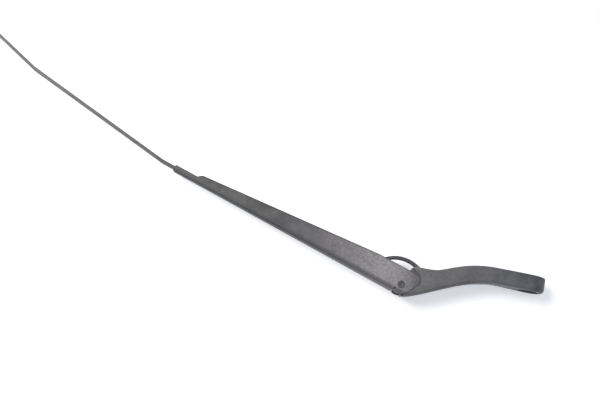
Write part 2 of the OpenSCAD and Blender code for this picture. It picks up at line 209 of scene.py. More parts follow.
def carried_bar(
    hinge: HingeFrame, line: np.ndarray, headings: np.ndarray, section: np.ndarray
) -> np.ndarray:
    """Section carried along a side-view line: point = line + n * normal, and y across the arm.

    The first and last rings repeat with the section drawn in, which rounds the sheared ends.

    Args:
        hinge: Side-view frame.
        line: Centre line (k, 2).
        headings: Direction at each point.
        section: Outline (m, 2) as (across, through).

    Returns:
        Grid of points (k + 2, m, 3) in the row frame.
    """
    end_round = 0.35 * MM
    small = section * (1 - 2 * end_round / np.ptp(section, axis=0))
    ends = end_round * np.stack([np.cos(headings[[0, -1]]), np.sin(headings[[0, -1]])], 1)
    inner = line.copy()
    inner[0] += ends[0]
    inner[-1] -= ends[1]
    rings = np.concatenate([line[:1], inner, line[-1:]])
    angle = np.concatenate([headings[:1], headings, headings[-1:]])
    shapes = np.broadcast_to(section, (len(rings), *section.shape)).copy()
    shapes[[0, -1]] = small
    normal = np.stack([-np.sin(angle), np.cos(angle)], 1)
    side = rings[:, None, :] + shapes[:, :, 1:2] * normal[:, None, :]
    return hinge.row(side[..., 0], side[..., 1], shapes[..., 0])


def carried_wire(path: np.ndarray, radius: float, sides: int) -> np.ndarray:
    """Round wire along a path in space: point = p + radius * (cos t * a + sin t * b).

    a is the path's curvature, smoothed over 15 points and made square to the tangent, and b is
    tangent x a.

    Args:
        path: Points (k, 3).
        radius: Wire radius.
        sides: Points of each ring.

    Returns:
        Grid of points (k, sides, 3).
    """
    tangent = np.gradient(path, axis=0)
    tangent /= np.linalg.norm(tangent, axis=1, keepdims=True)
    span = 15
    window = np.hanning(span) / np.hanning(span).sum()
    padded = np.pad(np.gradient(tangent, axis=0), ((span // 2, span // 2), (0, 0)), "edge")
    curve = np.stack([np.convolve(column, window, "valid") for column in padded.T], 1)
    a = curve - (curve * tangent).sum(1, keepdims=True) * tangent
    a /= np.linalg.norm(a, axis=1, keepdims=True)
    b = np.cross(tangent, a)
    t = np.arange(sides) * 2 * math.pi / sides
    return path[:, None, :] + radius * (
        np.cos(t)[None, :, None] * a[:, None, :] + np.sin(t)[None, :, None] * b[:, None, :]
    )


# Meshes


def shade(mesh: bpy.types.Mesh, sharp_deg: float) -> None:
    """Shades a mesh smooth, apart from edges that turn by more than an angle."""
    mesh.shade_smooth()
    mesh.set_sharp_from_angle(angle=math.radians(sharp_deg))


def turn_outwards(mesh: bpy.types.Mesh) -> None:
    """Turns the faces of a closed mesh outwards.

    Args:
        mesh: The mesh, which is changed.
    """
    form = bmesh.new()
    form.from_mesh(mesh)
    bmesh.ops.recalc_face_normals(form, faces=form.faces)
    form.to_mesh(mesh)
    form.free()


def tube_mesh(name: str, grid: np.ndarray) -> bpy.types.Object:
    """Closed tube from a grid of rings, with a flat face at each end.

    Args:
        name: The piece's name.
        grid: Points (rings, sides, 3). Each ring closes on itself.

    Returns:
        The new object, at the origin.
    """
    rings, sides = grid.shape[:2]
    corner = np.arange(rings * sides).reshape(rings, sides)
    after = np.roll(corner, -1, axis=1)
    quads = np.stack([corner[:-1], after[:-1], after[1:], corner[1:]], -1).reshape(-1, 4)
    ends = [corner[0, ::-1].tolist(), corner[-1].tolist()]
    mesh = bpy.data.meshes.new(name)
    mesh.from_pydata(grid.reshape(-1, 3), [], quads.tolist() + ends)
    turn_outwards(mesh)
    shade(mesh, BAR_SHARP_DEG)
    piece = bpy.data.objects.new(name, mesh)
    bpy.context.scene.collection.objects.link(piece)
    return piece


def worked_copy(node: str, name: str, edge_mm: float) -> bpy.types.Object:
    """Copy of a CAD node with its doubles merged, its flat faces joined and its edges rounded.

    Args:
        node: CAD node.
        name: The piece's name.
        edge_mm: Width of the rounding on every sharp edge.

    Returns:
        The new object, at the origin.
    """
    merge_mm, flat_deg, sharp_deg, rounded_deg = 0.002, 0.6, 32.0, 40.0
    mesh = frame["nodes"][node].data.copy()
    mesh.name = name
    form = bmesh.new()
    form.from_mesh(mesh)
    bmesh.ops.remove_doubles(form, verts=form.verts, dist=merge_mm * MM)
    flat = math.radians(flat_deg)
    bmesh.ops.dissolve_limit(
        form, angle_limit=flat, verts=form.verts, edges=form.edges, delimit={"NORMAL"}
    )
    many_sided = [face for face in form.faces if len(face.verts) > 4]
    bmesh.ops.triangulate(form, faces=many_sided, ngon_method="BEAUTY")
    form.to_mesh(mesh)
    form.free()
    mesh.materials.clear()
    shade(mesh, sharp_deg)
    piece = bpy.data.objects.new(name, mesh)
    bpy.context.scene.collection.objects.link(piece)
    rounding = piece.modifiers.new("edge_rounding", "BEVEL")
    rounding.width = edge_mm * MM
    rounding.segments = 2
    rounding.limit_method = "ANGLE"
    rounding.angle_limit = math.radians(rounded_deg)
    rounding.use_clamp_overlap = True
    rounding.harden_normals = True
    return piece


def bored(piece: bpy.types.Object, centre: np.ndarray, axis: Vector, radius: float) -> bpy.types.Object:
    """Cuts a round hole right through a piece.

    Args:
        piece: The piece, which keeps its name.
        centre: A point on the hole's axis.
        axis: Direction of the hole.
        radius: Hole radius.

    Returns:
        The same piece with its new mesh.
    """
    sides, depth = 48, 12 * MM
    form = bmesh.new()
    bmesh.ops.create_cone(
        form, cap_ends=True, segments=sides, radius1=radius, radius2=radius, depth=depth
    )
    turn = axis.to_track_quat("Z", "Y").to_matrix().to_4x4()
    bmesh.ops.transform(form, matrix=Matrix.Translation(Vector(centre)) @ turn, verts=form.verts)
    drill_mesh = bpy.data.meshes.new("drill")
    form.to_mesh(drill_mesh)
    form.free()
    drill = bpy.data.objects.new("drill", drill_mesh)
    bpy.context.scene.collection.objects.link(drill)
    hole = piece.modifiers.new("hole", "BOOLEAN")
    hole.operation, hole.solver, hole.object = "DIFFERENCE", "EXACT", drill
    bpy.context.view_layer.update()
    cut_piece = piece.evaluated_get(bpy.context.evaluated_depsgraph_get())
    made = bpy.data.meshes.new_from_object(cut_piece)
    piece.modifiers.remove(hole)
    old, name = piece.data, piece.data.name
    piece.data = made
    bpy.data.meshes.remove(old)
    made.name = name
    bpy.data.objects.remove(drill)
    bpy.data.meshes.remove(drill_mesh)
    shade(made, BAR_SHARP_DEG)
    return piece


# Materials


def linear(colour: str) -> tuple[float, float, float, float]:
    """Turns an sRGB hex colour linear.

    Each part c becomes c / 12.92 up to 0.04045, and ((c + 0.055) / 1.055) ** 2.4 above it.

    Args:
        colour: Six hex digits, such as 6f6c6a.

    Returns:
        Red, green and blue, and an alpha of 1.
    """
    parts = np.array([int(colour[i : i + 2], 16) for i in (0, 2, 4)]) / 255
    flat = np.where(parts <= 0.04045, parts / 12.92, ((parts + 0.055) / 1.055) ** 2.4)
    return (*flat.tolist(), 1.0)


def add_node(tree: Tree, kind: str, links: dict | None = None, **settings: object) -> bpy.types.Node:
    """Adds a node with its settings and links.

    Args:
        tree: The node tree.
        kind: The node's type name, without its ShaderNode prefix.
        links: Input name or number to the output socket that feeds it, or to a plain value.
        settings: Properties of the node itself.

    Returns:
        The new node.
    """
    node = tree.nodes.new("ShaderNode" + kind)
    for key, value in settings.items():
        setattr(node, key, value)
    for key, value in (links or {}).items():
        if isinstance(value, bpy.types.NodeSocket):
            tree.links.new(value, node.inputs[key])
        else:
            node.inputs[key].default_value = value
    return node


def new_tree(name: str) -> tuple[bpy.types.Material, Tree]:
    """Makes a material with an empty node tree.

    Args:
        name: The material's name.

    Returns:
        The material and its tree.
    """
    material = bpy.data.materials.new(name)
    material.use_nodes = True
    material.node_tree.nodes.clear()
    return material, material.node_tree


def spans(source: tuple[float, float], target: tuple[float, float]) -> dict[str, float]:
    """Range settings that take one range to another."""
    return {"From Min": source[0], "From Max": source[1], "To Min": target[0], "To Max": target[1]}


def mixed(share: Socket, first: object, second: object) -> dict[str | int, object]:
    """Inputs for a Mix node: 6 and 7 are its two colours. Its output 2 is the mixed one."""
    return {"Factor": share, 6: first, 7: second}


@dataclass(frozen=True)
class RimLines:
    """Two straight lines of the channel's side view, near which the colour is painted darker.

    The open edge of the wall runs from a depth at one place to a depth at another, and the bend into
    the back is level. Both are in millimetres in the hinge's side view. Both lines are a little ragged.
    By the bend the darkening is painted shade, where the bend and the back turn away from the light.
    By the open edge it is a thin darker line.
    """

    hinge: HingeFrame
    edge_from_mm: tuple[float, float] = (30.0, -15.1)
    edge_to_mm: tuple[float, float] = (210.0, -1.0)
    edge_band_mm: float = 1.3
    edge_full_mm: float = 0.39
    edge_share: float = 0.8
    bend_n_mm: float = 5.4
    bend_band_mm: float = 2.4
    bend_shade_share: float = 0.7
    ragged_mm: float = 1.6
    wobble_mm: float = 0.8

    def build(self, tree: Tree, place: Socket) -> Socket:
        """Draws the lines on side-view places.

        With a as the droop, n = x * sin a + z * cos a and u = x * cos a - z * sin a, both less their
        values at the hinge.

        Args:
            tree: The material's tree.
            place: Object coordinates.

        Returns:
            Share of the painted darkening: full at a line and 0 a band's width away from it.
        """
        c, s = math.cos(self.hinge.droop), math.sin(self.hinge.droop)
        x, z = self.hinge.hinge
        dots = [
            add_node(tree, "VectorMath", {0: place, 1: axis}, operation="DOT_PRODUCT").outputs["Value"]
            for axis in ((s, 0.0, c), (c, 0.0, -s))
        ]
        n = add_node(tree, "Math", {0: dots[0], 1: x * s + z * c}, operation="SUBTRACT").outputs[0]
        u = add_node(tree, "Math", {0: dots[1], 1: x * c - z * s}, operation="SUBTRACT").outputs[0]
        (u0, n0), (u1, n1) = self.edge_from_mm, self.edge_to_mm
        edge_line = spans((u0 * MM, u1 * MM), (n0 * MM, n1 * MM))
        edge = add_node(tree, "MapRange", {"Value": u, **edge_line}).outputs["Result"]
        torn = {"Vector": place, "Scale": 1 / (self.ragged_mm * MM), "Detail": 4.0, "Roughness": 0.7}
        torn = add_node(tree, "TexNoise", torn).outputs["Fac"]
        sway = spans((0.3, 0.7), (-self.wobble_mm * MM, self.wobble_mm * MM))
        wobble = add_node(tree, "MapRange", {"Value": torn, **sway}).outputs["Result"]
        inside = add_node(tree, "Math", {0: n, 1: edge}, operation="SUBTRACT").outputs[0]
        inside = add_node(tree, "Math", {0: inside, 1: wobble}, operation="ADD").outputs[0]
        edge_fade = spans((self.edge_full_mm * MM, self.edge_band_mm * MM), (self.edge_share, 0.0))
        at_edge = add_node(tree, "MapRange", {"Value": inside, **edge_fade}).outputs["Result"]
        # Painted shade toward the bend into the back, which turns away from the light
        bent = add_node(tree, "Math", {0: n, 1: wobble}, operation="ADD").outputs[0]
        bend_start = (self.bend_n_mm - self.bend_band_mm) * MM
        bend_fade = spans((bend_start, self.bend_n_mm * MM), (0.0, self.bend_shade_share))
        painted_bend_shade = add_node(tree, "MapRange", {"Value": bent, **bend_fade}).outputs["Result"]
        return add_node(tree, "Math", {0: at_edge, 1: painted_bend_shade}, operation="MAXIMUM").outputs[0]


@dataclass(frozen=True)
class BareSocket:
    """Uncoated zinc alloy where the spindle's taper and the nut sit, inside a radius about the Z axis.

    The steel parts have scraped the coat off there, so it is a dull, light grey metal.
    """

    radius_mm: float = 6.3
    border_mm: float = 0.3
    metal: str = "96989a"
    metallic: float = 0.85

    def share(self, tree: Tree, place: Socket) -> Socket:
        """Measures how bare the metal is.

        Args:
            tree: The material's tree.
            place: Object coordinates.

        Returns:
            Share of bare metal: 1 inside the radius, and 0 beyond its border.
        """
        flat = {0: place, 1: (1.0, 1.0, 0.0)}
        flat = add_node(tree, "VectorMath", flat, operation="MULTIPLY").outputs[0]
        away = add_node(tree, "VectorMath", {0: flat}, operation="LENGTH").outputs["Value"]
        border = spans((self.radius_mm * MM, (self.radius_mm + self.border_mm) * MM), (1.0, 0.0))
        return add_node(tree, "MapRange", {"Value": away, **border}).outputs["Result"]


@dataclass(frozen=True)
class AgedPaint:
    """Black electrophoretic paint on metal, chalked grey by weather and filmed with road dust.

    The paint's own sheen is low and even. Chalk lightens it in soft clouds, dust gathers over a
    length of the arm and in specks, and the grain of the metal under it shows as a fine bump. Along
    the pressing's two long edges the colour is painted darker: painted shade by the bend into the
    back, and a thin darker line by the open edge. Road dust is finer than the picture shows, so its
    specks are drawn as coarse as they need to show.
    """

    name: str
    paint: str
    chalk: str
    dust: str
    cloud_mm: float
    grain_mm: float
    roughness: float
    dust_span: tuple[float, float, float, float]
    dust_share: float
    bump_mm: float
    tail_power: float = 1.6
    cloud_edges: tuple[float, float] = (0.38, 0.62)
    speck_part: float = 0.16
    speck_edges: tuple[float, float] = (0.34, 0.66)
    speck_lift: tuple[float, float] = (0.5, 1.25)
    grain_lift: tuple[float, float] = (0.84, 1.16)
    sheen_change: tuple[float, float] = (-0.07, 0.1)
    sheen: float = 0.4
    bump_strength: float = 0.6

    def dust_along(self, tree: Tree, along: Socket) -> Socket:
        """Spreads dust along the arm: up over the span's first two values, down over its last two.

        The way down is share ** tail_power, a long tail toward the tip.

        Args:
            tree: The material's tree.
            along: Place along the arm, in metres.

        Returns:
            Share of dust.
        """
        low, low_full, high_full, high = self.dust_span
        up = {"Value": along, **spans((low, low_full), (0.0, self.dust_share))}
        rise = add_node(tree, "MapRange", up, interpolation_type="SMOOTHSTEP").outputs["Result"]
        down = {"Value": along, **spans((high_full, high), (1.0, 0.0))}
        fall = add_node(tree, "MapRange", down).outputs["Result"]
        tail = add_node(tree, "Math", {0: fall, 1: self.tail_power}, operation="POWER").outputs[0]
        return add_node(tree, "Math", {0: rise, 1: tail}, operation="MULTIPLY").outputs[0]

    def build(self, rim: RimLines | None = None, bare: BareSocket | None = None) -> bpy.types.Material:
        """Builds the material.

        Args:
            rim: The long edges that are painted darker, if there are any.
            bare: The place without a coat, if there is one.

        Returns:
            Material whose pattern lies on Object coordinates.
        """
        material, tree = new_tree(self.name)
        place = add_node(tree, "TexCoord").outputs["Object"]
        patterns = (
            {"Scale": 1 / (self.cloud_mm * MM), "Detail": 5.0, "Roughness": 0.62},
            {"Scale": 1 / (self.grain_mm * MM), "Detail": 3.0, "Roughness": 0.7},
            {"Scale": 1 / (self.cloud_mm * self.speck_part * MM), "Detail": 6.0, "Roughness": 0.75},
        )
        cloud, grain, speck = (
            add_node(tree, "TexNoise", {"Vector": place, **pattern}).outputs["Fac"]
            for pattern in patterns
        )
        chalk = {"Value": cloud, **spans(self.cloud_edges, (0.0, 1.0))}
        chalked = add_node(tree, "MapRange", chalk).outputs["Result"]
        along = add_node(tree, "SeparateXYZ", {"Vector": place}).outputs["X"]
        near = self.dust_along(tree, along)
        spread = {"Value": speck, **spans(self.speck_edges, self.speck_lift)}
        spread = add_node(tree, "MapRange", spread).outputs["Result"]
        dusty = {0: near, 1: spread}
        dusty = add_node(tree, "Math", dusty, operation="MULTIPLY", use_clamp=True).outputs[0]
        worn = mixed(chalked, linear(self.paint), linear(self.chalk))
        worn = add_node(tree, "Mix", worn, data_type="RGBA").outputs[2]
        coated = mixed(dusty, worn, linear(self.dust))
        coated = add_node(tree, "Mix", coated, data_type="RGBA").outputs[2]
        # Painted darkening along the long edges: painted shade by the bend, a darker line by the open
        # edge
        if rim:
            darker = mixed(rim.build(tree, place), coated, linear(self.paint))
            coated = add_node(tree, "Mix", darker, data_type="RGBA").outputs[2]
        fine = {"Value": grain, **spans((0.25, 0.75), self.grain_lift)}
        fine = add_node(tree, "MapRange", fine).outputs["Result"]
        toned = add_node(tree, "HueSaturation", {"Value": fine, "Color": coated}).outputs[0]
        smoother, rougher = (self.roughness + change for change in self.sheen_change)
        rough = {"Value": grain, **spans((0.3, 0.7), (smoother, rougher))}
        rough = add_node(tree, "MapRange", rough).outputs["Result"]
        bump = {"Height": grain, "Strength": self.bump_strength, "Distance": self.bump_mm * MM}
        bump = add_node(tree, "Bump", bump).outputs["Normal"]
        coat = {"Base Color": toned, "Roughness": rough, "Normal": bump}
        coat["Specular IOR Level"] = self.sheen
        if bare:
            share = bare.share(tree, place)
            scraped = mixed(share, toned, linear(bare.metal))
            coat["Base Color"] = add_node(tree, "Mix", scraped, data_type="RGBA").outputs[2]
            metal = {"Value": share, **spans((0.0, 1.0), (0.0, bare.metallic))}
            coat["Metallic"] = add_node(tree, "MapRange", metal).outputs["Result"]
        shader = add_node(tree, "BsdfPrincipled", coat)
        add_node(tree, "OutputMaterial", {"Surface": shader.outputs[0]})
        return material


@dataclass(frozen=True)
class DullSteel:
    """Steel gone dull, with drawn or rolled streaks along X and patches of brown-grey tarnish.

    Real streaks are hair-fine, so they are drawn as coarse as they need to show.
    """

    name: str
    metal: str
    tarnish: str
    tarnish_share: float
    metallic: float
    roughness: float
    streak_mm: float
    streak_squash: float = 0.12
    patch_mm: float = 5.0
    patch_edges: tuple[float, float] = (0.38, 0.62)
    sheen_change: tuple[float, float] = (-0.08, 0.12)
    bump_mm: float = 0.03
    bump_strength: float = 0.4

    def build(self) -> bpy.types.Material:
        """Builds the material.

        Returns:
            Material whose pattern lies on Object coordinates.
        """
        material, tree = new_tree(self.name)
        place = add_node(tree, "TexCoord").outputs["Object"]
        stretch = {"Vector": place, "Scale": (self.streak_squash, 1.0, 1.0)}
        stretched = add_node(tree, "Mapping", stretch).outputs[0]
        streak = {"Scale": 1 / (self.streak_mm * MM), "Detail": 4.0, "Roughness": 0.65}
        streak = add_node(tree, "TexNoise", {"Vector": stretched, **streak}).outputs["Fac"]
        patch = {"Vector": place, "Scale": 1 / (self.patch_mm * MM), "Detail": 6.0, "Roughness": 0.68}
        patch = add_node(tree, "TexNoise", patch).outputs["Fac"]
        stained = {"Value": patch, **spans(self.patch_edges, (0.0, self.tarnish_share))}
        stained = add_node(tree, "MapRange", stained).outputs["Result"]
        colour = mixed(stained, linear(self.metal), linear(self.tarnish))
        colour = add_node(tree, "Mix", colour, data_type="RGBA").outputs[2]
        smoother, rougher = (self.roughness + change for change in self.sheen_change)
        rough = {"Value": streak, **spans((0.3, 0.7), (smoother, rougher))}
        rough = add_node(tree, "MapRange", rough).outputs["Result"]
        bump = {"Height": streak, "Strength": self.bump_strength, "Distance": self.bump_mm * MM}
        bump = add_node(tree, "Bump", bump).outputs["Normal"]
        steel = {"Base Color": colour, "Metallic": self.metallic, "Roughness": rough, "Normal": bump}
        shader = add_node(tree, "BsdfPrincipled", steel)
        add_node(tree, "OutputMaterial", {"Surface": shader.outputs[0]})
        return material


@dataclass(frozen=True)
class MouldedNylon:
    """Unfilled moulded nylon: milky, a little translucent, greyed where grease has taken up dirt."""

    name: str
    plastic: str
    grime: str
    grime_mm: float = 2.5
    grime_edges: tuple[float, float] = (0.4, 0.65)
    grime_share: float = 0.8
    roughness: float = 0.45
    ior: float = 1.53
    milkiness: float = 0.15
    glow_depth_mm: float = 0.5

    def build(self) -> bpy.types.Material:
        """Builds the material.

        Returns:
            Material whose pattern lies on Object coordinates.
        """
        material, tree = new_tree(self.name)
        place = add_node(tree, "TexCoord").outputs["Object"]
        dirt = {"Vector": place, "Scale": 1 / (self.grime_mm * MM), "Detail": 5.0, "Roughness": 0.6}
        dirt = add_node(tree, "TexNoise", dirt).outputs["Fac"]
        dirty = {"Value": dirt, **spans(self.grime_edges, (0.0, self.grime_share))}
        dirty = add_node(tree, "MapRange", dirty).outputs["Result"]
        colour = mixed(dirty, linear(self.plastic), linear(self.grime))
        nylon = {
            "Base Color": add_node(tree, "Mix", colour, data_type="RGBA").outputs[2],
            "Roughness": self.roughness,
            "IOR": self.ior,
            "Subsurface Weight": self.milkiness,
            "Subsurface Scale": self.glow_depth_mm * MM,
        }
        shader = add_node(tree, "BsdfPrincipled", nylon)
        add_node(tree, "OutputMaterial", {"Surface": shader.outputs[0]})
        return material


# Black electrophoretic paint on pressed sheet: flat and grey, with pale mauve dust beside the hinge
CHANNEL_PAINT = AgedPaint(
    name="chalked_black_ecoat_on_steel",
    paint="3f3f41",
    chalk="5a595c",
    dust="a5a1a4",
    cloud_mm=14.0,
    grain_mm=0.9,
    roughness=0.55,
    dust_span=(0.088, 0.128, 0.138, 0.245),
    dust_share=0.9,
    bump_mm=0.05,
)
# The same paint on drawn bar: a little smoother, and dusty only toward the tip
ROD_PAINT = AgedPaint(
    name="chalked_black_ecoat_on_bar",
    paint="47484b",
    chalk="58595c",
    dust="717172",
    cloud_mm=12.0,
    grain_mm=0.8,
    roughness=0.5,
    dust_span=(0.3, 0.45, 0.6, 0.7),
    dust_share=0.4,
    bump_mm=0.04,
)
# Black coat on a zinc alloy casting: bluish, with the pressing's dust thinning out toward the spindle
HEAD_PAINT = AgedPaint(
    name="black_coat_on_die_casting",
    paint="46484d",
    chalk="616368",
    dust="858281",
    cloud_mm=15.0,
    grain_mm=0.7,
    roughness=0.5,
    dust_span=(-0.005, 0.08, 0.11, 0.14),
    dust_share=0.42,
    bump_mm=0.07,
)
# Rolled strip with a dark phosphate skin: near black, with a dull shine on its flats
LINK_STEEL = DullSteel("phosphated_strip_steel", "56585a", "38393b", 0.8, 0.35, 0.5, 0.5)
# Riveted pin's bare steel, tarnished dark
PIN_STEEL = DullSteel("dull_rivet_steel", "5e5e60", "404042", 0.8, 0.45, 0.45, 0.3)
# Drawn spring wire: bright in streaks between brown stains
SPRING_STEEL = DullSteel("drawn_spring_wire", "8b8780", "5b4a3c", 0.7, 0.85, 0.38, 0.25)
# Natural nylon of the bushes, yellowed and greasy
BUSH_NYLON = MouldedNylon("greased_natural_nylon", "b9b3a2", "6b665c")


# Pieces of the arm


def fit_out(
    piece: bpy.types.Object, body: Body, material: bpy.types.Material, node: str
) -> None:
    """Finishes a new piece and ties it to the frame.

    Args:
        piece: The piece.
        body: Body that it rides on.
        material: Its material.
        node: CAD node that it stands for.
    """
    piece.data.materials.clear()
    piece.data.materials.append(material)
    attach(piece, body.value)
    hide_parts(node)
    faces = len(piece.data.polygons)
    log.info("%s: %d faces, rides on %s, stands for %s", piece.name, faces, body.value, node)


def dress_node(node: str, material: bpy.types.Material) -> None:
    """Gives a CAD node that stays a better material.

    Args:
        node: CAD node.
        material: Its new material.
    """
    piece = frame["nodes"][node]
    piece.data.materials.clear()
    piece.data.materials.append(material)
    log.info("%s: CAD node with %s", node, material.name)


@dataclass
class Head:
    """Cast mounting head with its two flanged bushes and the pin that the tension link hooks on."""

    cast_edge_mm: float = 0.35

    def build(self) -> None:
        """Builds the casting and dresses what it holds."""
        casting = worked_copy("head", "head_casting", self.cast_edge_mm)
        coat = HEAD_PAINT.build(bare=BareSocket())
        fit_out(casting, Body.HEAD, coat, "head")
        nylon = BUSH_NYLON.build()
        for bush in ("bush_left", "bush_right"):
            dress_node(bush, nylon)
        dress_node("link_pin", PIN_STEEL.build())


@dataclass
class Channel:
    """Pressed channel with the rivet through its walls."""

    sheet_edge_mm: float = 0.3

    def build(self, hinge: HingeFrame) -> None:
        """Builds the pressing and dresses the rivet.

        Args:
            hinge: Side-view frame, which the rim's lines lie in.
        """
        pressing = worked_copy("channel", "channel_pressing", self.sheet_edge_mm)
        # Painted shade along the bend into the back, and a darker line along the open edge
        coat = CHANNEL_PAINT.build(rim=RimLines(hinge))
        fit_out(pressing, Body.CHANNEL, coat, "channel")
        dress_node("hinge_pin", PIN_STEEL.build())


@dataclass
class Rod:
    """Flat bar from the spring's hole, through the crimp and two bends, to the blade hook."""

    width_mm: float = 9.0
    thickness_mm: float = 3.0
    corner_mm: float = 0.45
    height_mm: float = 4.9
    anchor_mm: float = 130.0
    tail_mm: float = 3.9
    joggle_deg: float = 25.0
    joggle_r_mm: float = 8.0
    bend_r_mm: float = 20.0
    bend_one_at_mm: float = 252.0
    bend_one_deg: float = 7.1
    middle_mm: float = 160.0
    bend_two_deg: float = 7.2
    tip_mm: float = 92.0
    hook_r_mm: float = 3.0
    hook_leg_mm: float = 14.0
    hole_r_mm: float = 1.6
    tail_extra_mm: float = 8.0

    def line(self) -> list[tuple[float, ...]]:
        """Works out the bar's centre line from its tail to the hook's end.

        The joggle is two equal arcs of radius r and angle j with a straight slope between them that
        makes up the height: slope = (height - 2 * r * (1 - cos j)) / sin j. A bend of radius r and
        angle t takes r * tan(t / 2) off the straight runs beside it.

        Returns:
            Steps for bent_line, in metres and radians.
        """
        joggle, radius = math.radians(self.joggle_deg), self.joggle_r_mm
        one, two = math.radians(self.bend_one_deg), math.radians(self.bend_two_deg)
        flat = self.tail_mm + self.tail_extra_mm
        slope = (self.height_mm - 2 * radius * (1 - math.cos(joggle))) / math.sin(joggle)
        joggle_run = 2 * radius * math.sin(joggle) + slope * math.cos(joggle)
        joggle_end = self.anchor_mm - self.tail_mm + flat + joggle_run
        lead, gap = self.bend_r_mm * math.tan(one / 2), self.bend_r_mm * math.tan(two / 2)
        steps = [
            (flat,),
            (radius, joggle),
            (slope,),
            (radius, -joggle),
            (self.bend_one_at_mm - joggle_end - lead,),
            (self.bend_r_mm, -one),
            (self.middle_mm - lead - gap,),
            (self.bend_r_mm, -two),
            (self.tip_mm - gap,),
            (self.hook_r_mm + self.thickness_mm / 2, -math.pi),
            (self.hook_leg_mm,),
        ]
        return [(s[0] * MM, *s[1:]) for s in steps]

    def build(self, hinge: HingeFrame) -> None:
        """Builds the bar, with the spring's hole in its tail.

        Args:
            hinge: Side-view frame.
        """
        start = np.array([self.anchor_mm - self.tail_mm, 0.0]) * MM
        line, headings = bent_line(self.line(), start, 0.0)
        section = rounded_bar(self.width_mm * MM, self.thickness_mm * MM, self.corner_mm * MM)
        bar = tube_mesh("rod_bar", carried_bar(hinge, line, headings, section))
        centre = hinge.row(np.array(self.anchor_mm * MM), np.array(0.0), np.array(0.0))
        axis = Vector((math.sin(hinge.droop), 0, math.cos(hinge.droop)))
        bored(bar, centre, axis, self.hole_r_mm * MM)
        fit_out(bar, Body.CHANNEL, ROD_PAINT.build(), "rod")


